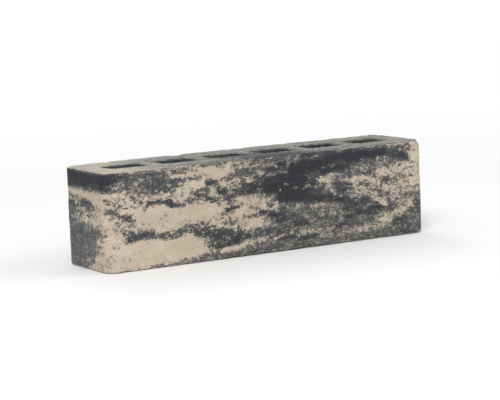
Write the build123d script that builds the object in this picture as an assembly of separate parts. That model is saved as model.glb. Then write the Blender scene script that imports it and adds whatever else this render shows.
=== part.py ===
from build123d import *
import os

# A perforated facing brick: one piece of clay, extruded as a bar, wire-cut to height and fired.
# +X runs along the length, +Y across the width and +Z up as the brick lies on its bed.
# The facing side is at -Y. The origin is the centre of the bottom bed. Millimetres.

# Overall size of the format.
length = 250.0
width = 60.0
height = 65.0

# The die rounds the four upright arrises. The wire leaves the edges of the beds nearly sharp.
arris_radius = 8.0
bed_edge_radius = 1.5

# One row of slots runs straight through, from bed to bed.
slot_count = 6
web = 10.0
end_wall = 16.0
side_wall = 19.0
slot_corner_radius = 5.0

# The slots fill what the end walls, the webs and the side walls leave.
slot_length = (length - 2 * end_wall - (slot_count - 1) * web) / slot_count
slot_width = width - 2 * side_wall
slot_pitch = slot_length + web


def extruded_bar():
    """The solid clay bar at its cut height, with rounded upright arrises and eased bed edges."""
    with BuildPart() as bar:
        with BuildSketch():
            RectangleRounded(length, width, arris_radius)
        extrude(amount=height)
        beds = bar.faces().sort_by(Axis.Z)
        fillet(beds[0].edges() + beds[-1].edges(), radius=bed_edge_radius)
    return bar.part


def slots():
    """The row of through slots, each with rounded corners."""
    with BuildPart() as row:
        with BuildSketch():
            with GridLocations(slot_pitch, 0, slot_count, 1):
                RectangleRounded(slot_length, slot_width, slot_corner_radius)
        extrude(amount=height)
    return row.part


brick = extruded_bar() - slots()

os.makedirs("parts", exist_ok=True)
export_step(brick, "parts/brick.step")
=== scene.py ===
import math

import bpy
import numpy as np
from mathutils import Matrix, Vector
from mathutils.geometry import delaunay_2d_cdt


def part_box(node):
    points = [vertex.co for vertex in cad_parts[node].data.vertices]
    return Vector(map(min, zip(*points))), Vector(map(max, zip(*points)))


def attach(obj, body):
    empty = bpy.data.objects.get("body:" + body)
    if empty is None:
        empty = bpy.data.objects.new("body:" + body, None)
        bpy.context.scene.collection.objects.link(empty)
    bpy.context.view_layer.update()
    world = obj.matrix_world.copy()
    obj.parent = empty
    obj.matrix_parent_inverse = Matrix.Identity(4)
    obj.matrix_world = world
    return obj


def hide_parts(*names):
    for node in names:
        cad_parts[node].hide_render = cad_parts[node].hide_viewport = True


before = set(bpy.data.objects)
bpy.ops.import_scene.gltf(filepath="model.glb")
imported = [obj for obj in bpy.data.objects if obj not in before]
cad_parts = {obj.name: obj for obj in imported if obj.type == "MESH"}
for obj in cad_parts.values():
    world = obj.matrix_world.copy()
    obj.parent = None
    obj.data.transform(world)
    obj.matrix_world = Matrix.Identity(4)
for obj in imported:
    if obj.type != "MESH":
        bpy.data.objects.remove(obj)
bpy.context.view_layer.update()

# A facing brick of cream clay with charcoal flashing smeared along its faces.
# The skin is built here in millimetres from the box of the CAD node, then scaled to metres.

low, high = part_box("brick")
LENGTH, WIDTH, HEIGHT = ((high[i] - low[i]) * 1000 for i in range(3))
BOTTOM = low[2] * 1000

# The rounded upright arrises, the eased bed edges and the row of slots, as in the CAD node.
ARRIS = 8.0
BED_EDGE = 1.5
SLOTS, WEB, END_WALL, SIDE_WALL, SLOT_CORNER = 6, 10.0, 16.0, 19.0, 5.0
SLOT_LENGTH = (LENGTH - 2 * END_WALL - (SLOTS - 1) * WEB) / SLOTS
SLOT_WIDTH = WIDTH - 2 * SIDE_WALL

# The easing of the slot mouths, which only the skin has.
MOUTH = 0.8

# Spacing of the points of the skin: on the sides, round and down the slots, and on the beds.
SIDE_STEP = 1.0
SLOT_STEP, SLOT_ROW_STEP = 1.3, 1.9
BED_STEP, BED_SCATTER = 1.15, 0.22
BED_ROW_STEP = BED_STEP * 0.866     # the height of an even triangle
EDGE_CLEARANCE, MOUTH_CLEARANCE = 0.75, 0.8
IN_MOUTH = MOUTH + 0.1     # the middle of a triangle that fills a mouth is nearer to the slot than this
SAME_POINT = 1e-6

# Tilts in degrees of the rings that round the bed edges and the slot mouths.
EDGE_TILTS = (90, 67.5, 45, 22.5)
MOUTH_TILTS = (90, 45)

# What a point of the skin lies on. Points of a rounded edge have values between.
SIDE, BED, SLOT = 0, 1, 2

QUARTER = math.pi * ARRIS / 2
PERIMETER = 2 * (LENGTH - 2 * ARRIS) + 2 * (WIDTH - 2 * ARRIS) + 4 * QUARTER
WRAP_RADIUS = PERIMETER / (2 * math.pi)


# Noise.

GRADIENTS = np.array([
    (1, 1, 0), (-1, 1, 0), (1, -1, 0), (-1, -1, 0), (1, 0, 1), (-1, 0, 1), (1, 0, -1), (-1, 0, -1),
    (0, 1, 1), (0, -1, 1), (0, 1, -1), (0, -1, -1), (1, 1, 0), (-1, 1, 0), (0, -1, 1), (0, -1, -1),
], float)
CELL_PRIMES = (73856093, 19349663, 83492791)
SEED_PRIME = 2654435761
MIXERS = ((15, 2246822519), (13, 3266489917))
LOW_32_BITS = 0xFFFFFFFF


def noise(p, seed):
    """Gradient noise, about -1 to 1, at an (n, 3) array of points, one cell to a unit."""
    cell = np.floor(p).astype(np.int64)
    f = p - cell
    u = f * f * f * (f * (f * 6 - 15) + 10)
    total = np.zeros(len(p))
    for corner in np.ndindex(2, 2, 2):
        c = cell + corner
        h = seed * SEED_PRIME
        for axis, prime in enumerate(CELL_PRIMES):
            h = h ^ (c[:, axis] * prime)
        for shift, factor in MIXERS:
            h = ((h ^ (h >> shift)) * factor) & LOW_32_BITS
        gradient = GRADIENTS[(h >> 11) % len(GRADIENTS)]
        x, y, z = (np.where(corner[axis], u[:, axis], 1 - u[:, axis]) for axis in range(3))
        total += x * y * z * (gradient * (f - corner)).sum(1)
    return total


def layers(p, seed, octaves=1, gain=0.5):
    """Several octaves of noise, scaled back to about -1 to 1."""
    total, size, weight = np.zeros(len(p)), 0.0, 1.0
    for n in range(octaves):
        total += weight * noise(p * 2 ** n, seed + 17 * n)
        size += weight
        weight *= gain
    return total / size


def smooth(lo, hi, x):
    """0 up to lo and 1 from hi on, with a soft step between."""
    t = np.clip((x - lo) / (hi - lo), 0, 1)
    return t * t * (3 - 2 * t)


def wrapped(s, z):
    """Points round a cylinder, so that noise along the perimeter s meets itself with no seam."""
    a = s / WRAP_RADIUS
    return np.stack([WRAP_RADIUS * np.cos(a), WRAP_RADIUS * np.sin(a), z], 1)


def along_perimeter(s, start):
    """Distance of s past start round the perimeter, negative where the way back is shorter."""
    return (s - start + PERIMETER / 2) % PERIMETER - PERIMETER / 2


# The skin: rings of points up the sides, the beds, and rings down the slots.

def rounded_loop(half_x, half_y, radius, step):
    """Arc centres, outward normals and distance along a rounded rectangle, from the left end of its front.
    A point of the loop is its centre plus the radius times its normal, so that an inset changes
    nothing but the radius."""
    cx, cy = half_x - radius, half_y - radius
    corners = [(-cx, -cy), (cx, -cy), (cx, cy), (-cx, cy)]
    arc_length = math.pi * radius / 2
    centres, normals, along = [], [], []
    s = 0.0
    for side, degrees in enumerate((-90, 0, 90, 180)):
        (ax, ay), (bx, by) = corners[side], corners[(side + 1) % 4]
        a = math.radians(degrees)
        run = math.hypot(bx - ax, by - ay)
        count = max(2, round(run / step))
        for k in range(count):
            t = k / count
            centres.append((ax + (bx - ax) * t, ay + (by - ay) * t))
            normals.append((math.cos(a), math.sin(a)))
            along.append(s + run * t)
        s += run
        count = max(2, round(arc_length / step))
        for k in range(count):
            t = k / count
            turn = a + t * math.pi / 2
            centres.append((bx, by))
            normals.append((math.cos(turn), math.sin(turn)))
            along.append(s + t * arc_length)
        s += arc_length
    return np.array(centres), np.array(normals), np.array(along)


points, outward, faces = [], [], []
kind = []     # SIDE, BED or SLOT
arc = []      # distance along the perimeter, of use on the sides


def add_ring(centres, normals, radius, z, tilt, sign, kinds, along):
    """One ring of points. Its normals are level at a tilt of 0, and point straight up at 90 degrees
    and down at -90. sign is 1 where they face away from the centres and -1 where they face them."""
    first = len(points)
    t = math.radians(tilt)
    for c, n, s in zip(centres, normals, along):
        points.append((c[0] + radius * n[0], c[1] + radius * n[1], z))
        outward.append((sign * n[0] * math.cos(t), sign * n[1] * math.cos(t), math.sin(t)))
        kind.append(kinds)
        arc.append(s)
    return list(range(first, first + len(centres)))


def wall_profile(edge, tilts, row_step):
    """Inset, height and tilt of each ring of a wall, bottom to top, with both its edges rounded."""
    rounded = []
    for tilt in tilts:
        a = math.radians(tilt)
        rounded.append((edge * (1 - math.cos(a)), edge * (1 - math.sin(a)), tilt))
    rows = round((HEIGHT - 2 * edge) / row_step)
    profile = [(inset, z, -tilt) for inset, z, tilt in rounded]
    profile += [(0.0, edge + (HEIGHT - 2 * edge) * k / rows, 0) for k in range(rows + 1)]
    profile += [(inset, HEIGHT - z, tilt) for inset, z, tilt in reversed(rounded)]
    return profile


def stitch(rings, flip=False):
    """Quads between each ring and the next."""
    for a, b in zip(rings, rings[1:]):
        for k in range(len(a)):
            after = (k + 1) % len(a)
            quad = (a[k], a[after], b[after], b[k])
            faces.append(quad[::-1] if flip else quad)


centres, normals, along = rounded_loop(LENGTH / 2, WIDTH / 2, ARRIS, SIDE_STEP)
side_rings = []
for inset, z, tilt in wall_profile(BED_EDGE, EDGE_TILTS, SIDE_STEP):
    share = abs(tilt) / 90
    side_rings.append(add_ring(centres, normals, ARRIS - inset, z, tilt, 1, SIDE + share, along))
stitch(side_rings)

# Each slot's rings start at another distance, so that no two slots have the same drag marks.
SLOT_ARC_SHIFT = 11
centres, normals, along = rounded_loop(SLOT_LENGTH / 2, SLOT_WIDTH / 2, SLOT_CORNER, SLOT_STEP)
slot_x = [(k - (SLOTS - 1) / 2) * (SLOT_LENGTH + WEB) for k in range(SLOTS)]
slot_rings = []
for x in slot_x:
    shifted, shifted_along = centres + (x, 0), along + SLOT_ARC_SHIFT * x
    rings = []
    for inset, z, tilt in wall_profile(MOUTH, MOUTH_TILTS, SLOT_ROW_STEP):
        share = abs(tilt) / 90
        radius = SLOT_CORNER + inset
        rings.append(add_ring(shifted, normals, radius, z, tilt, -1, SLOT - share, shifted_along))
    stitch(rings, flip=True)
    slot_rings.append(rings)


def past_rounded(x, y, half_x, half_y, radius):
    """Signed distance from a rounded rectangle at the origin, negative inside."""
    qx, qy = np.abs(x) - (half_x - radius), np.abs(y) - (half_y - radius)
    return np.hypot(np.maximum(qx, 0), np.maximum(qy, 0)) + np.minimum(np.maximum(qx, qy), 0) - radius


def past_slots(x, y):
    """Distance from the nearest slot, negative inside it."""
    each = [past_rounded(x - cx, y, SLOT_LENGTH / 2, SLOT_WIDTH / 2, SLOT_CORNER) for cx in slot_x]
    return np.min(each, axis=0)


def bed_points():
    """A scattered grid of even triangles, clear of the bed's edge and of the slots."""
    rng = np.random.default_rng(41)
    columns = np.arange(-LENGTH / 2, LENGTH / 2, BED_STEP)
    rows = np.arange(-WIDTH / 2, WIDTH / 2, BED_ROW_STEP)
    x, y = np.meshgrid(columns, rows)
    x = x + (np.arange(x.shape[0]) % 2)[:, None] * BED_STEP / 2
    inner = np.stack([x.ravel(), y.ravel()], 1) + rng.uniform(-BED_SCATTER, BED_SCATTER, (x.size, 2))
    x, y = inner.T
    past_edge = past_rounded(x, y, LENGTH / 2 - BED_EDGE, WIDTH / 2 - BED_EDGE, ARRIS - BED_EDGE)
    return inner[(past_edge < -EDGE_CLEARANCE) & (past_slots(x, y) > MOUTH + MOUTH_CLEARANCE)]


inner = bed_points()


def bed(z, outer, mouths, up):
    """Triangles between the outer ring, the rings of the slot mouths and the inner points."""
    ids = list(outer)
    loops = [list(range(len(outer)))]
    for ring in mouths:
        loops.append(list(range(len(ids), len(ids) + len(ring))))
        ids += ring
    first = len(points)
    for x, y in inner:
        points.append((x, y, z))
        outward.append((0, 0, 1 if up else -1))
        kind.append(BED)
        arc.append(0)
    ids += range(first, len(points))
    flat = [Vector(points[i][:2]) for i in ids]
    edges = [(loop[k], loop[(k + 1) % len(loop)]) for loop in loops for k in range(len(loop))]
    places, _, triangles, sources, *_ = delaunay_2d_cdt(flat, edges, [], 1, SAME_POINT)
    back = [ids[source[0]] for source in sources]
    middle = np.array([sum((places[i] for i in t), Vector((0, 0))) / 3 for t in triangles])
    keep = past_slots(middle[:, 0], middle[:, 1]) > IN_MOUTH
    for triangle in (triangles[i] for i in np.flatnonzero(keep)):
        t = tuple(back[i] for i in triangle)
        faces.append(t if up else t[::-1])


bed(0.0, side_rings[0], [rings[0] for rings in slot_rings], up=False)
bed(HEIGHT, side_rings[-1], [rings[-1] for rings in slot_rings], up=True)

P = np.array(points, float)
X, Y, Z = P.T
N = np.array(outward, float)
kind = np.array(kind, float)
arc = np.array(arc, float)
on_side = 1 - smooth(SIDE, BED, np.minimum(kind, BED))
on_slot = smooth(BED, SLOT, kind)
on_bed = 1 - on_side - on_slot
W = wrapped(arc, Z)


# The charcoal, as strokes listed one by one on the front and the left header and scattered on the other
# sides.

# Front strokes, (x0, z0, x1, z1, radius, weight) in mm from the left end and the bottom bed.
# Positive weights are charcoal, negative ones bare clay. Weights near 0.5 give a broken, grey smear.
FRONT = [
    # top left corner, where the dark block of the header comes round the arris
    (-6, 60, 3, 60, 5.6, 1.35), (-6, 55.5, 3, 55.5, 3.2, 1.1), (2, 61.5, 6, 61.5, 4, 1.15),
    (6, 61, 12, 61, 2.6, 0.95), (12, 61, 20, 60.5, 3.8, 0.72), (23, 61, 28, 60.5, 2.0, 0.75),
    (30, 61, 34, 61, 2.0, 0.85), (34, 60, 41.5, 59, 4, 0.58), (14, 56, 34, 55, 5, 0.3),
    (30, 54, 41, 53, 4.2, 0.68), (33, 58, 40, 57, 4, 0.6), (36, 51, 44, 51, 2.5, 0.7),
    (16, 51, 34, 50.5, 1.8, 0.42), (8, 53.5, 13, 53, 2, 0.35), (46, 55.5, 54, 55.5, 1.6, 0.85),
    (54, 56.2, 57, 56, 1.2, 0.6), (30, 57.5, 40, 58, 2.2, 0.55), (16, 56, 20, 54, 1.5, 0.45),
    (21, 52, 28, 51.5, 1.4, 0.4), (58, 56, 70, 56.5, 2.0, 0.68), (48, 50.5, 57, 51, 2.0, 0.5),
    (50, 61.3, 59, 61.5, 1.8, 0.88), (59, 61.8, 63, 61.8, 1.0, 0.4), (47, 59.5, 90, 60.5, 3, -0.3),
    (55, 50, 72, 53, 2.4, -0.35), (3, 47.5, 16, 49, 2.5, -0.15), (9.5, 57.5, 12, 56.5, 1.3, -0.3),
    (3, 56, 4, 56, 0.8, -0.5),
    # dark blob and speckles along the upper middle
    (75, 51.5, 79, 51.5, 2.2, 1.0), (83, 52, 86, 53, 1.5, 0.7), (80, 49, 84, 48, 1.5, 0.6),
    (83, 46, 87, 45, 2.2, 0.95), (88, 47, 96, 50, 2.0, 0.3), (63, 44, 74, 47, 2.0, 0.55),
    (90, 54, 97, 56, 2.0, 0.6), (99, 57.2, 111, 57, 2.0, 0.65), (101, 54.5, 111, 55, 2.2, 0.68),
    (101, 50, 104, 52, 1.6, 0.8), (112, 51.5, 118, 51.5, 1.9, 0.95), (113, 57.5, 117, 57.5, 1.4, 0.5),
    (104, 47, 112, 49, 3, 0.75), (66, 54, 88, 58, 3.5, -0.25), (90, 61.5, 112, 62, 2.2, 0.34),
    (86.5, 51, 88, 52, 1.2, -0.4),
    # upper chain of streaks
    (19, 47.5, 27, 44, 1.3, 0.6), (27, 43.5, 30, 41, 1.8, 0.85), (28, 39.5, 29, 39, 1.2, 0.8),
    (30, 43, 47, 43, 1.5, 0.85), (45, 41.3, 50, 40.5, 1.6, 0.8), (48, 39.6, 57, 40, 1.6, 0.8),
    (57, 42, 59, 42, 1.2, 0.9), (61, 41.5, 66, 42, 1.4, 0.9), (66, 43, 70, 44, 1.6, 0.7),
    (73, 42.2, 77, 41.8, 1.6, 0.8), (78, 40.3, 84, 39, 1.6, 0.75), (84, 38.3, 94, 37.2, 2.0, 0.72),
    (89, 40, 96, 44, 2.4, 0.9), (95, 42.5, 112, 44, 2.4, 1.0), (99, 46, 110, 46, 2, 0.7),
    # small marks at the left end
    (0, 46.5, 6, 44, 1.4, 0.75), (6, 44, 10, 42, 1.1, 0.5), (1, 40.5, 5, 38.5, 1.6, 0.85),
    (5, 38, 9, 35.5, 1.5, 0.8), (4, 34, 9, 31.5, 1.5, 0.5), (12, 35, 17, 34, 1.9, 0.95),
    (15, 37, 18, 36, 1.2, 0.7), (16, 33, 20, 31.5, 1.4, 0.7), (11, 42, 14, 41, 1.1, 0.5),
    (41, 34.5, 44, 34, 1.4, 0.7), (7, 17, 8, 17, 1.0, 0.5),
    # lower long streak and the patch that it swells into
    (13, 24, 18, 24, 1.6, 0.75), (11.5, 20, 14, 19.5, 1.4, 0.6), (15, 20, 20, 22, 2.4, 0.85),
    (20, 20.5, 26, 23, 2.6, 0.8), (24, 23, 33, 22.5, 2.5, 0.85), (32, 20.6, 42, 20, 1.5, 0.72),
    (35.5, 24, 39.5, 24, 1.4, -0.5), (42, 18.5, 46, 20, 2.0, 0.7), (44, 21, 56, 21, 2.0, 0.7),
    (48, 18.5, 53, 19, 1.6, 0.8), (55, 22, 66, 20, 2.2, 0.7), (58, 24.5, 70, 24.5, 1.4, 0.75),
    (64, 18.5, 72, 18, 1.9, 0.8), (70, 20, 78, 21, 1.8, 0.75), (74, 18, 90, 17, 3.4, 0.85),
    (76, 12, 82, 12, 2.8, 0.85), (80, 14, 98, 13, 4.6, 0.8), (90, 10, 98, 11, 2.2, 0.9),
    (80, 9, 90, 9, 2, 0.8), (98, 16, 106, 13, 2.0, 0.85), (100, 12, 118, 12.5, 1.8, 0.72),
    (108, 15.8, 124, 15, 2.2, 0.6), (112, 17.5, 124, 18, 1.6, 0.45), (74, 10, 78, 9, 1.6, 0.7),
    # light patch, with the thin stroke and the specks in it
    (81, 36.6, 90, 37, 2.0, 0.7), (85, 30, 89, 31, 1.3, 0.8), (89, 32, 96, 34, 1.7, 1.0),
    (114.5, 28, 117.5, 28, 1.7, 0.95), (121.5, 25.8, 126, 25.5, 1.3, 0.75), (104, 27, 112, 27, 1.2, 0.4),
    (100, 36, 104, 35, 1.4, 0.5), (109, 33, 114, 35, 1.4, 0.5), (86, 24, 95, 24, 1.4, 0.38),
    (115, 38.5, 120, 40, 2, 0.5), (98, 33, 116, 32, 3, 0.3), (24, 35, 40, 36, 3.2, -0.6),
    (46, 33, 84, 34, 4.4, -0.5), (30, 39.5, 44, 39, 1.4, -0.3), (121.5, 33.5, 125, 32, 1.5, 0.7),
    (98, 37, 118, 36, 3, -0.35), (86, 28.5, 100, 28.5, 2, 0.28), (96, 27, 102, 31, 2.5, -0.5),
    (106, 22.5, 119, 21.5, 2.6, -0.65),
    # great dark mass of the middle, and the band along the top
    (104, 46.5, 124, 47.5, 3.6, 0.95), (112, 45.3, 122, 44.8, 3.0, 1.15), (121, 44, 136, 43, 6.3, 1.5),
    (120, 49, 134, 50, 3.4, 1.3), (132, 38, 148, 37, 6.5, 1.5), (134, 46, 148, 47.5, 6.6, 1.5),
    (141, 54, 160, 56, 7.2, 1.5), (130.5, 58.5, 142, 57, 2.6, 1.05), (128, 50.5, 140, 51, 2.6, 1.2),
    (121, 55, 134, 56, 2.8, 0.9), (146, 42.5, 152, 39, 3.0, 1.2), (150, 39, 160, 36, 3.6, 0.95),
    (149, 41.3, 155, 41.6, 0.9, -0.3), (126, 37, 134, 34, 3, 0.75), (135, 44.5, 137, 44.5, 0.9, -0.9),
    (137, 57, 137.5, 59, 1.2, -0.6), (150, 50.5, 167, 51.5, 3.2, 1.05), (150, 38, 165, 38.5, 2.6, 0.85),
    (152, 49, 165, 50, 2.6, 1.0), (152, 47, 158, 46, 2.2, 1.0), (152, 43.5, 157, 43, 2.0, 0.85),
    (130, 29, 142, 29.5, 2.2, 0.6), (150, 57, 200, 59, 5.5, 1.4), (196, 58.5, 216, 59.5, 4.8, 1.35),
    (214, 58, 226, 58, 3.6, 0.95), (224, 56.5, 232.5, 56, 3.7, 1.1), (231, 54.2, 235.5, 53.8, 1.8, 0.85),
    (158, 51.5, 186, 53, 3.2, 1.05), (186, 54, 206, 54.5, 2.4, 0.7), (222, 62, 236, 61.5, 2.4, 0.45),
    (219, 51.5, 224, 51.5, 1.3, 0.8), (228, 49.5, 232, 49.5, 1.2, 0.6), (236, 60, 238, 60, 1.2, 0.4),
    (118, 63, 150, 64, 3, 0.6), (150, 64, 216, 64, 3, 0.75), (48, 63.8, 70, 64, 1.1, 0.5),
    (70, 64.2, 122, 64.2, 1.2, 0.68), (58, 60.5, 66, 60.5, 1.6, 0.25), (92, 60, 106, 60.5, 2, 0.22),
    (6, 64.2, 46, 64.2, 1.0, 0.5),
    # dark band that runs down to the right below the mass
    (124, 26, 134, 25, 2.4, 0.9), (128, 22, 152, 25, 4.4, 0.7), (122, 13, 150, 18, 4.4, 0.6),
    (150, 33, 172, 33, 3.2, 1.0), (160, 36, 170, 37, 2.4, 0.6), (174.5, 40.6, 187, 40, 2.8, 0.85),
    (177, 36.6, 187, 36.4, 2.6, 0.85), (170, 31.5, 184, 29.5, 2.8, 1.05), (180, 30, 192, 27, 3.2, 1.1),
    (192, 28, 203, 28, 2.6, 0.85), (182, 24, 196, 22, 3, 0.8), (194, 20, 206, 19.5, 3.2, 0.9),
    (203, 22, 213, 21.5, 2.4, 0.85), (207, 25, 214, 23.5, 1.8, 0.8), (160, 19.5, 178, 18.5, 1.4, 0.7),
    (180.5, 17.6, 194, 17, 2.2, 0.85), (160, 13, 178, 12, 4, 0.45), (124, 3, 140, 3, 2.5, 0.5),
    (176, 13.5, 194, 13.5, 3.2, 0.62), (146, 12, 178, 10, 3, 0.4), (196, 14.2, 204, 14.2, 1.0, 0.7),
    (150, 22, 180, 26, 5, 0.4),
    # light streaks of the right half, and the marks between them
    (170, 46, 188, 47, 4, 0.4), (150, 43, 169, 42, 3.4, 0.46), (167, 46, 174, 46, 2.4, -0.6),
    (176, 47, 178, 47, 1.2, -0.3), (172, 43.3, 188, 42.8, 1.2, -0.3), (167.5, 39.3, 171.5, 39, 1.2, -0.5),
    (172.5, 35.5, 175.5, 35, 1.1, -0.45), (188, 42, 200, 43.5, 1.6, -0.7), (200, 43.5, 212, 40, 1.6, -0.7),
    (186, 35, 200, 34.5, 1.5, -0.35), (200, 34, 208, 32, 1.3, -0.5), (205, 29, 216, 24, 1.8, -0.6),
    (190, 28.5, 192, 28.5, 0.9, -0.5), (208, 51, 214, 51, 1.2, -0.3), (204, 54.4, 222, 54.3, 2.4, 0.62),
    (196, 50.5, 199, 50, 1.0, -0.2), (212, 47, 236, 48, 3.4, -0.55), (212, 49.5, 222, 49.8, 1.8, 0.5),
    (224, 50, 234, 51, 1.4, 0.15), (150, 24, 152, 22, 1.2, -0.4), (164, 27, 174, 23, 1.2, -0.25),
    (141, 28, 146, 27, 1.3, -0.3), (146, 12, 170, 11.5, 1.0, -0.3), (178, 17, 180, 17, 1, -0.4),
    (192, 9, 200, 8, 1.6, -0.4), (190, 16, 198, 16, 1.2, -0.4), (186, 47.5, 208, 47, 3.8, 0.44),
    (186, 38, 210, 36.5, 6, 0.32), (214, 39.5, 219, 40.5, 1.5, 0.85), (222, 39.5, 226, 40, 1.5, 0.8),
    (204, 36, 214, 31, 1.4, 0.5), (229, 42, 238, 41.5, 1.8, 0.6), (218, 31, 240, 29, 4, 0.2),
    (218, 36, 246, 37, 7, -0.2), (240, 30, 252, 34, 4, 0.3), (243, 55, 250, 57, 5, -0.8),
    (240, 42, 252, 40, 8, -0.6),
    # lower right
    (204, 11.5, 218, 14, 2.4, -0.15), (210, 22, 222, 21.5, 4.2, 0.6), (222, 21, 229, 21, 3, 0.35),
    (228, 22.5, 240, 23.5, 2.2, -0.1), (228, 18, 234, 19, 1.8, -0.3), (216, 26, 238, 26, 1.6, 0.4),
    (224, 10, 233, 8, 3.6, 0.7), (212, 10, 220, 10, 2.6, 0.35), (220, 2, 240, 2.5, 2.6, 0.6),
    (232, 6, 252, 8, 6, 0.6), (236, 16, 252, 17, 4, 0.62), (242, 22, 254, 24, 4, 0.7),
    (229, 12, 234, 12, 1.6, 0.9), (216, 22, 222, 20, 2, 0.4),
    # foot of the face
    (8, 10, 62, 10, 8.0, -1.1), (64, 10, 72, 10, 2, -0.3), (84, 6, 100, 7.5, 1.6, -0.7),
    (40, 1, 66, 1.6, 1.8, 0.42), (60, 2, 112, 2.2, 3.0, 0.5), (112, 4, 222, 4, 4, 0.42),
    (127, 9, 141, 9, 1.2, 0.95), (144, 7.5, 158, 8, 1.3, 0.95),
]

# Header strokes, (y0, z0, y1, z1, radius, weight), with y from the far edge of the left header to
# its near edge.
HEADER = [
    (-4, 60, 56, 60, 5.5, 1.5), (54, 60.5, 64, 60.5, 4.2, 1.1), (0, 55.5, 54, 55.5, 3, 1.25),
    (52, 56, 60, 56.5, 2.6, 0.8), (22, 52, 27, 52.2, 1.2, -0.5), (10, 48, 25, 47.5, 2.0, 0.6),
    (0, 49.5, 18, 49.5, 2.2, -0.6), (16, 49, 60, 49, 1.8, -0.5), (6, 42.5, 19, 42, 2.6, 0.7),
    (26, 43, 38, 42.5, 2.6, 0.85), (34, 40, 42, 40, 1.6, 0.55), (45, 40, 50, 39.5, 1.2, 0.4),
    (4, 36, 24, 36, 2.4, 0.3), (26, 36.5, 44, 37, 2.2, 0.3), (30, 31, 42, 31, 2.4, -0.2),
    (4, 28, 24, 27, 4.5, 0.25), (10, 23, 40, 23, 4.4, 0.36), (28, 27, 40, 27, 2.4, 0.25),
    (38, 23, 46, 24, 2.6, 0.35), (46, 27, 53, 24, 3.4, 0.2), (4, 16, 26, 15, 6, 0.28),
    (24, 16, 38, 15, 4.4, 0.22), (38, 17, 44, 16, 2.2, 0.2), (4, 8, 22, 8, 4.5, 0.18),
    (20, 8, 32, 8, 3.5, 0.15), (6, 3, 20, 3, 3, 0.3), (58, 16, 64, 16, 6, -0.8), (56, 33, 62, 33, 4, -0.5),
    (38, 3, 60, 3, 3.2, -0.5), (50, 8, 60, 8, 4, -0.4), (54, 46, 62, 22, 3, -0.35),
]

# Thin grey film, in the same coordinates, where the charcoal was wiped and not laid. Some rows also darken
# the left arris and the right end of the front.
FRONT_FILM = [
    (14, 58, 44, 56, 8, 0.75), (-6, 60, 12, 60, 6, 0.6), (90, 54, 120, 55, 5, 0.45),
    (62, 45, 96, 45, 3, 0.35), (121, 58, 138, 60, 6, 0.85), (143, 28, 146, 26.5, 1.5, -0.5),
    (150.5, 24, 152.5, 22, 1.6, -0.6), (162, 22.3, 175, 21.8, 1.8, -0.55), (157, 28.3, 168, 29, 1.8, -0.4),
    (150, 11.5, 168, 11.3, 1.2, -0.2), (180, 52, 214, 50, 5, 0.75), (176, 46, 190, 47, 3, 0.8),
    (150, 62, 236, 63, 3, 0.6), (124, 22, 205, 19, 10, 0.95), (150, 33, 212, 30, 7, 0.6),
    (160, 40, 214, 40, 6, 0.5), (206, 46, 214, 44, 4, 0.4), (208, 45, 250, 38, 10, 0.6),
    (222, 32, 246, 31, 3.5, 0.5), (216, 28, 250, 27, 4, 0.55), (84, 29, 112, 28, 5, 0.35),
    (156, 44, 176, 45, 5, 0.35), (112, 3, 232, 3, 6, 1.0), (60, 1, 114, 2, 4, 0.85),
    (84, 3, 112, 5, 2, 0.4), (196, 13, 224, 14, 4, 0.4), (100, 15, 124, 15, 5, 0.7),
    (70, 17, 100, 14, 7, 0.5), (228, 6, 254, 10, 9, 0.7), (242, 18, 256, 20, 8, 0.6),
    (14, 21, 72, 21, 3, 0.3), (238, 54, 250, 46, 9, 0.62), (222, 61, 237, 61, 4, 0.6),
    # Rows near x = 0 darken the left arris.
    (4, 29, 20, 28, 3, 0.55), (-5, 5, 5, 17, 6, 0.6), (1, 38, 7, 34, 4, 0.5), (-2, 11, 14, 9, 5, 0.8),
    (208, 20, 236, 20, 5, 0.5), (0, 49, 60, 49, 4, 0.4), (86, 61, 124, 61, 4, 0.35),
    (80, 50, 120, 50, 6, 0.4), (136, 10, 196, 10, 4, 0.7), (30, 1, 60, 1.5, 3, 0.8),
    (54, 2, 114, 2.6, 4.4, 1.15), (174, 46, 190, 47, 5, 0.6), (92, 22, 124, 22, 5, 0.45),
    (100, 40, 124, 38, 4, 0.4), (20, 44, 50, 43, 4, 0.35), (0, 4, 60, 3, 3.5, 0.45),
    (60, 56, 84, 57, 5, 0.25), (186, 37, 206, 38, 4, 0.5),
]
HEADER_FILM = [
    (-4, 24, 38, 24, 8, 1.1), (-4, 12, 36, 12, 10, 1.1), (36, 24, 47, 25, 5, 0.8), (34, 14, 43, 12, 6, 0.7),
    (-4, 36, 24, 36, 5, 0.6), (40, 14, 62, 12, 7, 0.4), (4, 42, 44, 42, 4, 0.5), (-4, 3, 30, 3, 5, 0.9),
    (-4, 58, 66, 58, 9, 0.7), (42, 19, 51, 27, 8, 0.45),
]


def front_s(x):
    """Distance along the perimeter of a place on the front, x mm from its left end."""
    return x - ARRIS


def header_s(y):
    """Distance along the perimeter of a place on the left header, y mm from its far edge."""
    return y - WIDTH + ARRIS - QUARTER


def placed_by(to_s, rows):
    return [(to_s(a), z0, to_s(b), z1, radius, weight) for a, z0, b, z1, radius, weight in rows]


strokes = placed_by(front_s, FRONT) + placed_by(header_s, HEADER)
film = placed_by(front_s, FRONT_FILM) + placed_by(header_s, HEADER_FILM)

# The right header and the back: streaks that climb or fall gently, dark masses, smears and bare streaks.
# HIDDEN is where they start and end along the perimeter.
HIDDEN = (LENGTH + 1, PERIMETER - WIDTH - 4)
STREAK_LEVELS = (5, 13, 20, 27, 34, 41, 48, 55, 61)
WIDE_SMEARS = 12

# (s0, z0, s1, z1, half height, weight), with s along the perimeter from the left end of the front.
HIDDEN_MASSES = [
    (264, 33, 298, 41, 5.5, 1.3), (272, 49, 334, 55, 5, 1.3), (344, 19, 400, 27, 5.5, 1.4),
    (380, 30, 430, 38, 4.5, 1.35), (442, 54, 524, 58, 4.5, 1.4), (462, 15, 514, 10, 4.2, 1.2),
    (512, 42, 546, 34, 4.5, 1.0),
]

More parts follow.
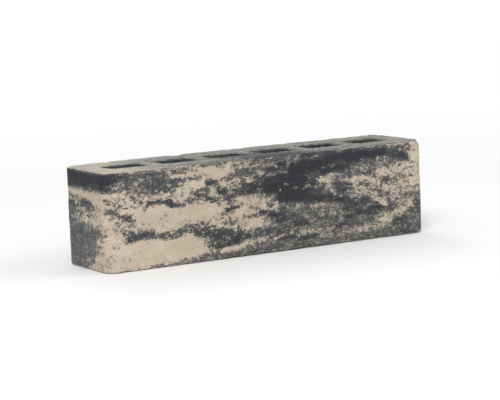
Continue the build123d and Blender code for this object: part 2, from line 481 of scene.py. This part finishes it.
# (s0, z0, s1, z1, radius, weight)
HIDDEN_BARE = [
    (250, 9, 278, 11, 7, -1.0), (300, 32, 340, 37, 5, -1.0), (296, 14, 336, 12, 5.5, -1.0),
    (402, 49, 438, 46, 5, -0.9), (420, 13, 456, 22, 6, -1.0), (478, 33, 512, 37, 4.5, -0.8),
    (512, 21, 534, 22, 4, -0.7), (358, 43, 384, 46, 2.6, -0.7), (352, 9, 400, 10, 3.0, -0.5),
    (350, 57, 392, 58, 2.4, -0.5),
]

rng = np.random.default_rng(7)


def chain(s, z, count, slope, radius, weight):
    """Short streaks end to end, each a little off the line of the last."""
    for _ in range(count):
        run = rng.uniform(6, 18)
        rise = slope * run + rng.uniform(-1.8, 1.8)
        size = radius * rng.uniform(0.6, 1.4)
        strokes.append((s, z, s + run, z + rise, size, weight * rng.uniform(0.65, 1.15)))
        s += run * rng.uniform(0.75, 1.2)
        z = float(np.clip(z + rise, 2, 63))


def mass(s0, z0, s1, z1, half, weight, streaks=13):
    """A dark mass: a core, and a bundle of streaks round it with uneven ends."""
    run, rise = s1 - s0, z1 - z0
    strokes.append((s0 + 0.3 * run, z0 + 0.3 * rise, s0 + 0.7 * run, z0 + 0.7 * rise, half, weight))
    middle = (streaks - 1) // 2
    for k in range(streaks):
        across = (k - middle) / middle
        a = rng.uniform(-0.3, 0.35) + 0.15 * abs(across)
        b = rng.uniform(0.65, 1.3) - 0.15 * abs(across)
        z = z0 + 1.5 * half * across + rng.uniform(-1, 1)
        tilt = rise * rng.uniform(0.6, 1.4)
        radius = rng.uniform(1.3, 2.8)
        streak_weight = (1.2 - 0.6 * abs(across)) * rng.uniform(0.8, 1.1)
        strokes.append((s0 + a * run, z + a * tilt, s0 + b * run, z + b * tilt, radius, streak_weight))
    film.append((s0 - 4, z0, s1 + 6, z1, half + 5, 0.8))


for level in STREAK_LEVELS:
    s = HIDDEN[0] + rng.uniform(0, 25)
    while s < HIDDEN[1] - 24:
        count = int(rng.integers(2, 7))
        z = level + rng.uniform(-3, 3)
        chain(s, z, count, rng.uniform(-0.14, 0.16), rng.uniform(1.3, 2.8), rng.uniform(0.5, 1.0))
        s += count * 10 + rng.uniform(6, 50)
for row in HIDDEN_MASSES:
    mass(*row)
for _ in range(WIDE_SMEARS):
    s, z = rng.uniform(*HIDDEN), rng.uniform(6, 60)
    run = rng.uniform(16, 50)
    strokes.append((s, z, s + run, z + rng.uniform(-4, 6), rng.uniform(4, 7), 0.42))
    film.append((s - 4, z, s + run + 6, z + 2, rng.uniform(7, 12), 0.75))
strokes += HIDDEN_BARE

# A stroke is full to a little inside its radius and gone a little outside it, in mm.
FULL_INSIDE, FADE_OUTSIDE = 4.5, 3.0
CORE_INSIDE = 5.5


def strokes_field(s, z, laid):
    """The strongest charcoal stroke less the strongest bare one at each point.
    A weight above 1 adds a solid core."""
    dark, bare = np.zeros(len(s)), np.zeros(len(s))
    for s0, z0, s1, z1, radius, weight in laid:
        ds, dz = along_perimeter(s, s0), z - z0
        run, rise = s1 - s0, z1 - z0
        t = np.clip((ds * run + dz * rise) / (run * run + rise * rise), 0, 1)
        d = np.hypot(ds - t * run, dz - t * rise)
        full = max(0.2 * radius, radius - FULL_INSIDE)
        gone = radius + min(FADE_OUTSIDE, 0.7 + 0.55 * radius)
        value = min(abs(weight), 1) * (1 - smooth(full, gone, d))
        if weight > 1:
            value += (weight - 1) * (1 - smooth(radius - CORE_INSIDE, radius, d))
        if weight > 0:
            dark = np.maximum(dark, value)
        else:
            bare = np.maximum(bare, value)
    return dark - bare


def swell(where, cell, seed, octaves=1, gain=0.5, height=1.0):
    """Noise of that height, with cells of that size in millimetres."""
    return height * layers(where / cell, seed, octaves, gain)


# Strokes waver by a few millimetres.
waver_up = swell(W, (26, 26, 14), 3, 2, height=1.8)
waver_along = swell(W, (30, 30, 12), 5, 2, height=2.0)

# The smears flow up to the middle of the front and down again beyond it, and wander on the other sides.
FLOW_PEAK, FLOW_RISE, FLOW_REACH = front_s(150), 8, 42
past_peak = along_perimeter(arc, FLOW_PEAK)
wander = swell(wrapped(arc, 0 * Z), 60, 14, 2, height=7)
flow = FLOW_RISE * np.exp(-(past_peak / FLOW_REACH) ** 2) + wander * smooth(20, 90, np.abs(past_peak))
flowing = wrapped(arc, Z - flow)

# Coat is the charcoal: a few specks at 0, half of the clay covered near 0.5, and solid above 1.
# Haze is the film.
COAT_GAIN, COAT_MOST, COAT_FROM_HAZE = 1.1, 1.7, 0.22
TORN_IN_COAT, TORN_IN_HAZE = 0.62, 0.12
ragged_s = arc + swell(W, 5, 8, height=1.2)
ragged_z = Z - flow + swell(W, 4, 9, height=0.8)
torn = swell(wrapped(ragged_s, ragged_z), (9, 9, 3.6), 11, 4, 0.7)
coat = np.minimum(COAT_GAIN * strokes_field(arc + waver_along, Z + waver_up, strokes), COAT_MOST)
coat += TORN_IN_COAT * torn
haze = strokes_field(arc + waver_along, Z + waver_up, film) + swell(W, (16, 16, 6), 31, 3, height=0.35)
haze = np.clip(haze + TORN_IN_HAZE * torn, 0, 1)
coat += COAT_FROM_HAZE * haze

# The beds: charcoal dust in long clouds, with a thick one along the facing edge beside the dark mass, and
# less of it towards the left end.
CLOUD, CLOUD_X, CLOUD_Y, CLOUD_LENGTH, CLOUD_WIDTH = 1.15, 2, -30, 32, 24
CLEAN, CLEAN_FROM, CLEAN_TO = 0.75, -50, -110
bed_dust = swell(P, (30, 9, 40), 51, 3, 0.6, height=0.55) + swell(P, (6, 4, 20), 52, height=0.25)
thick = CLOUD * np.exp(-((X - CLOUD_X) / CLOUD_LENGTH) ** 2 - ((Y - CLOUD_Y) / CLOUD_WIDTH) ** 2)
bed_dust += thick - CLEAN * smooth(CLEAN_FROM, CLEAN_TO, X)


# Relief, in millimetres along the normals of the skin.

COAT_THICKNESS = 0.16
TEAR_DEPTH = 0.45
solid_coat = smooth(0.38, 0.62, coat + swell(W, (3, 3, 2), 23, 2, 0.7, height=0.25))
side = swell(P, (48, 48, 26), 61, 2, height=0.24) + swell(W, (13, 13, 5), 62, 3, 0.6, height=0.15)
side += swell(P, 2.6, 63, 2, 0.7, height=0.10)
side += COAT_THICKNESS * (solid_coat - 0.4) + 0.10 * solid_coat * swell(P, 2.2, 64, 2)

drag = swell(P, (60, 1.9, 40), 71, height=0.07) + swell(P, (24, 5.5, 40), 72, height=0.13)
tears = smooth(0.12, 0.5, swell(P, (11, 5, 20), 73, 3, 0.6))
flat = drag + swell(P, 2.2, 74, 2, 0.7, height=0.10)
flat -= TEAR_DEPTH * tears * (0.7 + swell(P, 2.4, 75, height=0.6))

down_slot = np.stack([arc / 2.4, X / 200, Z / 70], 1)
inside = swell(down_slot, 1, 81, height=0.16) + swell(down_slot * (0.4, 1, 2), 1, 82, height=0.14)
inside += swell(P, 2.6, 83, 2, 0.7, height=0.10)
height = side * on_side + flat * on_bed + inside * on_slot

# Pits from voids in the clay, and chips along the edges.
SIDE_PITS, BED_PITS = 150, 110
LOW_CHIPS, HIGH_CHIPS, ARRIS_CHIPS, MOUTH_CHIPS = 30, 34, 14, 60
SMALL_CHIP, LARGE_CHIP, SMALL_SHARE = (1.4, 3.2), (3.2, 5.0), 0.8
rng = np.random.default_rng(12)
bare_clay = np.zeros(len(P))
sunk = np.zeros_like(P)


def carve(centre, facing, radius, depth, shows_clay):
    """Pushes the skin in round a point, straight against one outward direction, with a torn rim."""
    d = np.linalg.norm(P - centre, axis=1) / radius
    near = d < 1.5
    torn_rim = d[near] + 0.35 * noise(P[near] / (0.55 * radius + 0.4), 91)
    dent = 1 - smooth(0.25, 1.0, torn_rim)
    sunk[near] += depth * dent[:, None] * facing
    if shows_clay:
        bare_clay[near] = np.maximum(bare_clay[near], dent)


def scatter(ids, count, radius, depth, clay_share=0.0, clay_below=math.inf):
    """Carves dents at some of the points. A share of them shows bare clay, up to a height."""
    for i in rng.choice(ids, count, replace=False):
        r, deep = rng.uniform(*radius), rng.uniform(*depth)
        shows_clay = clay_share > 0 and rng.uniform() < clay_share and Z[i] < clay_below
        carve(P[i], N[i], r, deep, shows_clay)


def chip_edge(ring, count):
    """Carves chips along a ring, most of them small."""
    for i in rng.choice(ring, count, replace=False):
        size = rng.uniform(*SMALL_CHIP) if rng.uniform() < SMALL_SHARE else rng.uniform(*LARGE_CHIP)
        carve(P[i], N[i], size, 0.30 * size * rng.uniform(0.6, 1.1), rng.uniform() < 0.08)


off_edges = (Z > 3) & (Z < HEIGHT - 3)
scatter(np.flatnonzero((kind == SIDE) & off_edges), SIDE_PITS, (0.9, 2.0), (0.25, 0.6), 0.12)
scatter(np.flatnonzero(kind == BED), BED_PITS, (1.0, 2.6), (0.3, 0.8))
half_round = EDGE_TILTS.index(45)
chip_edge(side_rings[half_round], LOW_CHIPS)
chip_edge(side_rings[-1 - half_round], HIGH_CHIPS)
near_corner = (np.abs(X) > LENGTH / 2 - 3.2) & (np.abs(Y) > WIDTH / 2 - 3.2)
scatter(np.flatnonzero((kind == SIDE) & near_corner), ARRIS_CHIPS, (1.2, 3.0), (0.3, 0.7), 0.3, 50)
mouth_ids = [i for rings in slot_rings for ring in (rings[1], rings[-2]) for i in ring]
scatter(mouth_ids, MOUTH_CHIPS, (1.2, 3.0), (0.3, 0.9))

# Three chips on the edges of the front, (x from its left end, z, upward part of the direction, size).
FRONT_CHIPS = [(36, 0.4, -0.7, 3.4), (118, 0.3, -0.7, 2.6), (203, 64.7, 0.7, 3.0)]
for x, z, up, size in FRONT_CHIPS:
    carve(np.array((x - LENGTH / 2, -WIDTH / 2 + 0.4, z)), (0, -0.7, up), size, 0.9, False)

# The skin stands little proud of the CAD node, and rests on the level of its bottom bed.
MOST_PROUD = 0.35
skin = P + N * np.minimum(height, MOST_PROUD)[:, None] - sunk
skin[:, 2] = np.maximum(skin[:, 2], 0)
skin += ((low[0] + high[0]) * 500, (low[1] + high[1]) * 500, BOTTOM)

mesh = bpy.data.meshes.new("fired_brick")
mesh.from_pydata((skin / 1000).tolist(), [], faces)
mesh.validate()
mesh.shade_smooth()


def attribute(name, values):
    layer = mesh.attributes.new(name, "FLOAT_VECTOR" if values.ndim > 1 else "FLOAT", "POINT")
    layer.data.foreach_set("vector" if values.ndim > 1 else "value", values.astype(np.float32).ravel())


attribute("wrap", flowing / 1000)
attribute("coat", coat * (1 - 0.9 * bare_clay) - 0.4 * bare_clay)
attribute("haze", haze * (1 - bare_clay))
attribute("bed", 1 - on_side)
attribute("slot", on_slot)
attribute("dust", bed_dust)

# The film is bluer and darker in a patch low on the left header: a painted cool shade of that side.
COOL_SHADE_CENTRE, COOL_SHADE_REACH, COOL_SHADE_TOP = header_s(18), 24, (50, 38)
from_cool_shade = along_perimeter(arc, COOL_SHADE_CENTRE)
attribute("cool_shade", np.exp(-(from_cool_shade / COOL_SHADE_REACH) ** 2) * smooth(*COOL_SHADE_TOP, Z))

brick = bpy.data.objects.new("fired_brick", mesh)
bpy.context.scene.collection.objects.link(brick)


# Material.

def linear(r, g, b):
    """A colour written as 0 to 255 in sRGB, as linear RGBA."""
    out = []
    for c in (r, g, b):
        c /= 255
        out.append(c / 12.92 if c <= 0.04045 else ((c + 0.055) / 1.055) ** 2.4)
    return (*out, 1.0)


CLAY_SHADE, CLAY_LIGHT, CLAY_CLOUD = linear(188, 173, 154), linear(203, 189, 170), linear(190, 177, 160)
CLAY_DARK_GRAIN, CLAY_PALE_GRAIN = linear(150, 136, 119), linear(208, 196, 178)
DARK_SPECK, PALE_SPECK, RUSTY_SPECK = linear(92, 88, 82), linear(228, 224, 216), linear(178, 132, 96)
COAL_THIN, COAL_THICK = linear(80, 82, 84), linear(43, 44, 48)
COAL_GRAIN, COAL_CELL = linear(88, 89, 91), linear(78, 80, 84)
FILM_PALE, FILM_DARK = linear(135, 131, 122), linear(81, 82, 81)
# Film colours of the painted cool shade low on the left header.
COOL_SHADE_PALE, COOL_SHADE_DARK = linear(101, 107, 111), linear(74, 81, 86)
BED_SHADE, BED_LIGHT, BED_GRAIN = linear(150, 148, 142), linear(176, 171, 161), linear(124, 123, 118)
BED_LINE, BED_FINE_GRAIN, BED_CLEAN = linear(190, 184, 171), linear(128, 124, 116), linear(197, 188, 172)
BED_DARK_GRIT, BED_PALE_GRIT = linear(112, 110, 106), linear(200, 192, 176)
DUST_THIN, DUST_THICK, DUST_SPECK = linear(86, 90, 93), linear(58, 60, 63), linear(66, 66, 66)
# Slot walls: the body's colour darkened by painted shade.
SLOT_PAINTED_SHADE_DARK, SLOT_PAINTED_SHADE_PALE, SLOT_PAINTED_SHADE_GRAIN = linear(58, 62, 67), linear(84, 88, 92), linear(40, 43, 47)


class Tree:
    """Short names for the nodes of one material or world."""

    def __init__(self, owner):
        self.nodes, self.links = owner.node_tree.nodes, owner.node_tree.links

    def put(self, kind, inputs=None, **settings):
        node = self.nodes.new(kind)
        for name, value in settings.items():
            setattr(node, name, value)
        for name, value in (inputs or {}).items():
            self.feed(node.inputs[name], value)
        return node

    def feed(self, socket, value):
        if isinstance(value, bpy.types.NodeSocket):
            self.links.new(value, socket)
        else:
            socket.default_value = value

    def attr(self, name, vector=False):
        node = self.put("ShaderNodeAttribute", attribute_name=name)
        return node.outputs["Vector" if vector else "Fac"]

    def math(self, operation, a, b=0.0, c=0.0):
        return self.put("ShaderNodeMath", {0: a, 1: b, 2: c}, operation=operation).outputs[0]

    def vector(self, operation, inputs):
        return self.put("ShaderNodeVectorMath", inputs, operation=operation).outputs[0]

    def weighted(self, *pairs):
        """The sum of the values, each times its weight."""
        total = None
        for value, weight in pairs:
            part = self.math("MULTIPLY", value, weight)
            total = part if total is None else self.math("ADD", total, part)
        return total

    def swung(self, total, *pairs):
        """The total with each value swung about it, from half its gain below to half its gain above."""
        for value, gain in pairs:
            total = self.math("ADD", total, self.math("MULTIPLY_ADD", value, gain, -gain / 2))
        return total

    def noise(self, where, mm, detail=2.0, rough=0.55, stretch=(1, 1, 1), shift=0.0):
        """Noise of about that many millimetres to a cell, drawn out by stretch."""
        placed = self.put("ShaderNodeMapping", {
            "Vector": where, "Location": (shift, shift * 0.7, shift * 0.3),
            "Scale": tuple(1000 / mm / k for k in stretch),
        })
        node = self.put("ShaderNodeTexNoise", {
            "Vector": placed.outputs[0], "Scale": 1.0, "Detail": detail, "Roughness": rough,
        })
        return node.outputs["Fac"]

    def cells(self, where, scale):
        """Two random values, each even over a cell. scale gives the cells to a metre along each axis."""
        placed = self.put("ShaderNodeMapping", {"Vector": where, "Scale": scale})
        found = self.put("ShaderNodeTexVoronoi", {"Vector": placed.outputs[0], "Scale": 1.0})
        parts = self.put("ShaderNodeSeparateColor", {"Color": found.outputs["Color"]})
        return parts.outputs[0], parts.outputs[1]

    def span(self, value, lo, hi, at_lo=0.0, at_hi=1.0):
        """A soft step from at_lo where the value is lo to at_hi where it is hi."""
        inputs = {"Value": value, "From Min": lo, "From Max": hi, "To Min": at_lo, "To Max": at_hi}
        return self.put("ShaderNodeMapRange", inputs, interpolation_type="SMOOTHSTEP").outputs[0]

    def mix(self, factor, a, b):
        node = self.put("ShaderNodeMix", data_type="RGBA")
        self.feed(node.inputs[0], factor)
        self.feed(node.inputs[6], a)
        self.feed(node.inputs[7], b)
        return node.outputs[2]

    def tinted(self, colour, *rows):
        """The colour with others laid over it, each by a soft step of a value."""
        for value, lo, hi, at_lo, at_hi, tint in rows:
            colour = self.mix(self.span(value, lo, hi, at_lo, at_hi), colour, tint)
        return colour


material = bpy.data.materials.new("fired_clay")
material.use_nodes = True
t = Tree(material)
shader = t.nodes["Principled BSDF"]
wrap = t.attr("wrap", vector=True)
body = t.put("ShaderNodeTexCoord").outputs["Object"]

# Noise of several sizes. The sides use wrapped coordinates, so that their streaks run round the arrises.
grain_side = t.noise(wrap, 2.0, 3.0, 0.7, (1.5, 1.5, 1.0))
grain_fine = t.noise(body, 0.9, 2.0, 0.6, shift=3.1)
crumbs = t.noise(wrap, 1.1, 1.0, 0.5, (1.5, 1.5, 1.0), shift=9.4)
drawn = t.noise(wrap, 1.5, 2.0, 0.6, (6.0, 6.0, 1.0), shift=15.2)
mottle = t.noise(wrap, 9.0, 2.0, 0.5, (2.2, 2.2, 1.0), shift=1.7)
patches = t.noise(body, 22.0, 1.0, 0.5, shift=5.3)
specks = t.noise(body, 1.5, 1.0, 0.4, shift=8.9)
glints = t.noise(body, 1.3, 0.0, 0.4, shift=13.7)
rusty = t.noise(body, 2.1, 0.0, 0.4, shift=21.3)
pores = t.noise(body, 0.55, 2.0, 0.6, shift=6.6)

# Cells with frayed borders, for grains of even colour.
FRAY_PER_METRE, FRAY_REACH = 900.0, 0.0030
frayed = t.put("ShaderNodeTexNoise", {"Vector": wrap, "Scale": FRAY_PER_METRE, "Detail": 1.0})
fray = t.vector("SUBTRACT", {0: frayed.outputs["Color"], 1: (0.5, 0.5, 0.5)})
fray = t.vector("SCALE", {0: fray, "Scale": FRAY_REACH})
cell_cover, cell_tone = t.cells(t.vector("ADD", {0: wrap, 1: fray}), (620.0, 620.0, 950.0))
grit_cover, grit_tone = t.cells(t.vector("ADD", {0: body, 1: fray}), (640.0, 900.0, 700.0))

# Bare clay: cream, faintly clouded, with fine grain, dark specks and a few pale and rusty ones.
clay = t.mix(t.span(mottle, 0.36, 0.64), CLAY_SHADE, CLAY_LIGHT)
clay = t.tinted(
    clay,
    (patches, 0.35, 0.65, 0.0, 0.35, CLAY_CLOUD),
    (grain_fine, 0.28, 0.47, 0.30, 0.0, CLAY_DARK_GRAIN),
    (grain_fine, 0.58, 0.74, 0.0, 0.22, CLAY_PALE_GRAIN),
    (specks, 0.700, 0.760, 0.0, 0.6, DARK_SPECK),
    (glints, 0.785, 0.82, 0.0, 0.45, PALE_SPECK),
    (rusty, 0.765, 0.80, 0.0, 0.4, RUSTY_SPECK),
)

# Charcoal: near black, faintly blue, clouded and grained.
coat_value = t.attr("coat")
thickness = t.swung(coat_value, (mottle, 1.2))
coal = t.mix(t.span(thickness, 0.45, 1.5), COAL_THIN, COAL_THICK)
coal = t.tinted(
    coal,
    (grain_fine, 0.52, 0.70, 0.0, 0.3, COAL_GRAIN),
    (cell_tone, 0.55, 1.0, 0.0, 0.22, COAL_CELL),
)
amount = t.swung(
    coat_value, (grain_side, 2.1), (drawn, 0.9), (cell_cover, 0.8), (grain_fine, 1.3), (crumbs, 1.1),
)
cover = t.span(amount, 0.22, 0.87)

# Film: thin charcoal that lets the clay through between its grains.
FILM_STRENGTH = 0.9
film_grain = t.weighted((grain_side, 2.3), (cell_tone, 0.8), (crumbs, 1.2))
wiped = t.math("MULTIPLY_ADD", coat_value, 0.75, t.attr("haze"))
film_amount = t.span(t.math("ADD", wiped, film_grain), 2.28, 3.22)
film_colour = t.mix(t.span(grain_side, 0.38, 0.62), FILM_PALE, FILM_DARK)
cool_shade_colour = t.mix(t.span(grain_side, 0.36, 0.66), COOL_SHADE_PALE, COOL_SHADE_DARK)
# Painted cool shade: in the patch low on the left header, the film turns bluer and darker.
film_colour = t.mix(t.attr("cool_shade"), film_colour, cool_shade_colour)
side_colour = t.mix(t.math("MULTIPLY", film_amount, FILM_STRENGTH), clay, film_colour)
side_colour = t.mix(cover, side_colour, coal)

# The cut beds: cream grains and charcoal dust, faintly drawn along the length by the wire.
bed_grain = t.noise(body, 1.8, 3.0, 0.75, (1.6, 1.0, 1.0), shift=2.2)
bed_lines = t.noise(body, 1.6, 1.0, 0.5, (14.0, 1.0, 2.0), shift=7.7)
dust = t.attr("dust")
bed_amount = t.swung(dust, (bed_grain, 2.2), (bed_lines, 0.7), (grain_fine, 1.3), (grit_cover, 0.9))
bed_colour = t.mix(t.span(mottle, 0.35, 0.65), BED_SHADE, BED_LIGHT)
bed_colour = t.tinted(
    bed_colour,
    (bed_grain, 0.40, 0.60, 0.0, 0.65, BED_GRAIN),
    (bed_lines, 0.50, 0.66, 0.0, 0.5, BED_LINE),
    (grit_tone, 0.0, 0.35, 0.45, 0.0, BED_DARK_GRIT),
    (grit_tone, 0.70, 0.95, 0.0, 0.5, BED_PALE_GRIT),
    (grain_fine, 0.30, 0.48, 0.45, 0.0, BED_FINE_GRAIN),
    (dust, -0.95, -0.3, 0.7, 0.0, BED_CLEAN),
    (bed_amount, -0.55, 0.75, 0.0, 0.85, DUST_THIN),
    (bed_amount, 0.45, 1.05, 0.0, 0.8, DUST_THICK),
    (specks, 0.68, 0.75, 0.0, 0.6, DUST_SPECK),
)

# The slots: the plain body darkened with painted shade, drawn along the way it was extruded.
slot_lines = t.noise(body, 3.4, 2.0, 0.5, (1.0, 1.0, 6.0), shift=4.4)
slot_shade_colour = t.mix(t.span(slot_lines, 0.35, 0.66), SLOT_PAINTED_SHADE_DARK, SLOT_PAINTED_SHADE_PALE)
slot_shade_colour = t.tinted(slot_shade_colour, (grain_fine, 0.32, 0.5, 0.4, 0.0, SLOT_PAINTED_SHADE_GRAIN))

# The bed's colour reaches about a millimetre down into the slots, with a ragged end, and the painted shade
# of the slot walls begins below it. Metres.
SHADE_DEPTH_START, SHADE_DEPTH_END, SHADE_DEPTH_RAGGED = 0.0012, 0.0018, 0.0012
height_in_body = t.put("ShaderNodeSeparateXYZ", {"Vector": body}).outputs[2]
from_bottom = t.math("SUBTRACT", height_in_body, BOTTOM / 1000)
from_top = t.math("SUBTRACT", (BOTTOM + HEIGHT) / 1000, height_in_body)
depth = t.math("MULTIPLY_ADD", grain_fine, SHADE_DEPTH_RAGGED, t.math("MINIMUM", from_bottom, from_top))
slot_shade_mask = t.math("MULTIPLY", t.attr("slot"), t.span(depth, SHADE_DEPTH_START, SHADE_DEPTH_END))

bed_value = t.attr("bed")
to_bed = t.span(t.swung(bed_value, (grain_side, 0.7)), 0.20, 0.50)
colour = t.mix(to_bed, side_colour, bed_colour)
# Painted shade: below their mouths, the slots turn dark grey.
colour = t.mix(slot_shade_mask, colour, slot_shade_colour)
t.feed(shader.inputs["Base Color"], colour)

SPECULAR_LEVEL = 0.22
roughness = t.span(grain_fine, 0.3, 0.7, 0.80, 0.95)
t.feed(shader.inputs["Roughness"], t.math("SUBTRACT", roughness, t.math("MULTIPLY", cover, 0.10)))
shader.inputs["Specular IOR Level"].default_value = SPECULAR_LEVEL

relief = t.weighted((grain_side, 0.5), (grain_fine, 0.45), (pores, 0.22), (cover, 0.10))
bed_relief = t.weighted((bed_grain, 0.5), (grit_cover, 0.3))
relief = t.math("ADD", relief, t.math("MULTIPLY", bed_value, bed_relief))
bump = t.put("ShaderNodeBump", {"Strength": 0.85, "Distance": 0.0006, "Height": relief})
t.feed(shader.inputs["Normal"], bump.outputs[0])

mesh.materials.append(material)
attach(brick, "root")
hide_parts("brick")


# Floor, light and camera, in metres.

# The floor fades into the white of the background, well outside the shadow.
FLOOR_RADIUS, FLOOR_SIDES, FLOOR_GAP = 4.0, 96, 0.0002
FLOOR_COLOUR = (0.94, 0.94, 0.94, 1)
FADE_START, FADE_END = 0.35, 1.1
rim = []
for k in range(FLOOR_SIDES):
    turn = 2 * math.pi * k / FLOOR_SIDES
    rim.append((FLOOR_RADIUS * math.cos(turn), FLOOR_RADIUS * math.sin(turn), BOTTOM / 1000 - FLOOR_GAP))
floor_mesh = bpy.data.meshes.new("floor")
floor_mesh.from_pydata(rim, [], [tuple(range(FLOOR_SIDES))])
floor = bpy.data.objects.new("floor", floor_mesh)
floor_material = bpy.data.materials.new("floor_pale")
floor_material.use_nodes = True
ft = Tree(floor_material)
floor_shader = ft.nodes["Principled BSDF"]
floor_shader.inputs["Base Color"].default_value = FLOOR_COLOUR
floor_shader.inputs["Roughness"].default_value = 1.0
floor_shader.inputs["Specular IOR Level"].default_value = 0.0
place = ft.put("ShaderNodeTexCoord").outputs["Object"]
distance = ft.put("ShaderNodeVectorMath", {0: place}, operation="LENGTH").outputs["Value"]
clear = ft.put("ShaderNodeBsdfTransparent").outputs[0]
blend = ft.put("ShaderNodeMixShader", {
    0: ft.span(distance, FADE_START, FADE_END), 1: floor_shader.outputs[0], 2: clear,
})
ft.feed(ft.nodes["Material Output"].inputs["Surface"], blend.outputs[0])
floor_mesh.materials.append(floor_material)
bpy.context.scene.collection.objects.link(floor)

# The world lights softly, and is white where it shows.
SKY_COLOUR, SKY_STRENGTH = (0.97, 0.985, 1.0, 1), 0.62
WHITE, WHITE_STRENGTH = (1, 1, 1, 1), 1.0
world = bpy.data.worlds.new("studio")
bpy.context.scene.world = world
world.use_nodes = True
wt = Tree(world)
wt.nodes.clear()
rays = wt.put("ShaderNodeLightPath").outputs
shown = wt.math("MAXIMUM", rays["Is Glossy Ray"], rays["Is Transmission Ray"])
shown = wt.math("MAXIMUM", rays["Is Camera Ray"], shown)
sky = wt.put("ShaderNodeBackground", {"Color": SKY_COLOUR, "Strength": SKY_STRENGTH}).outputs[0]
white = wt.put("ShaderNodeBackground", {"Color": WHITE, "Strength": WHITE_STRENGTH}).outputs[0]
seen = wt.put("ShaderNodeMixShader", {0: shown, 1: sky, 2: white}).outputs[0]
wt.put("ShaderNodeOutputWorld", {"Surface": seen})

# (name, place, diameter, watts)
LAMPS = [
    ("key", (-1.1, -1.3, 1.5), 0.9, 22),
    ("fill", (1.5, -0.9, 1.1), 1.2, 7),
    ("back", (0.3, 1.6, 1.3), 1.2, 8),
]
LAMP_COLOUR, LAMP_AIM = (1.0, 0.985, 0.96), Vector((0, 0, 0.03))
for name, place, size, power in LAMPS:
    light = bpy.data.lights.new(name, "AREA")
    light.shape, light.size, light.energy, light.color = "DISK", size, power, LAMP_COLOUR
    lamp = bpy.data.objects.new(name, light)
    lamp.location = place
    lamp.rotation_euler = (LAMP_AIM - Vector(place)).to_track_quat("-Z", "Y").to_euler()
    bpy.context.scene.collection.objects.link(lamp)

# The camera stands where the viewpoint was solved to be, rolled a little, with a longer lens.
CAMERA = Vector((-0.676, -1.125, 0.210))
AIM = Vector((0.0, 0.0, 0.0325))
ROLL_Z = -0.0382     # height of the tip of the camera's unit vector to the right
LENS_MM, SENSOR_MM = 140, 36
forward = (AIM - CAMERA).normalized()
level = forward.cross(Vector((0, 0, 1))).normalized()
up = level.cross(forward)
roll = math.asin(ROLL_Z / up.z)
right = level * math.cos(roll) + up * math.sin(roll)
up = right.cross(forward)
lens = bpy.data.cameras.new("camera")
lens.sensor_width = SENSOR_MM
lens.lens = LENS_MM
camera = bpy.data.objects.new("camera", lens)
camera.matrix_world = Matrix((right, up, -forward)).transposed().to_4x4()
camera.location = CAMERA
bpy.context.scene.collection.objects.link(camera)
bpy.context.scene.camera = camera
bpy.context.scene.view_settings.view_transform = "Standard"
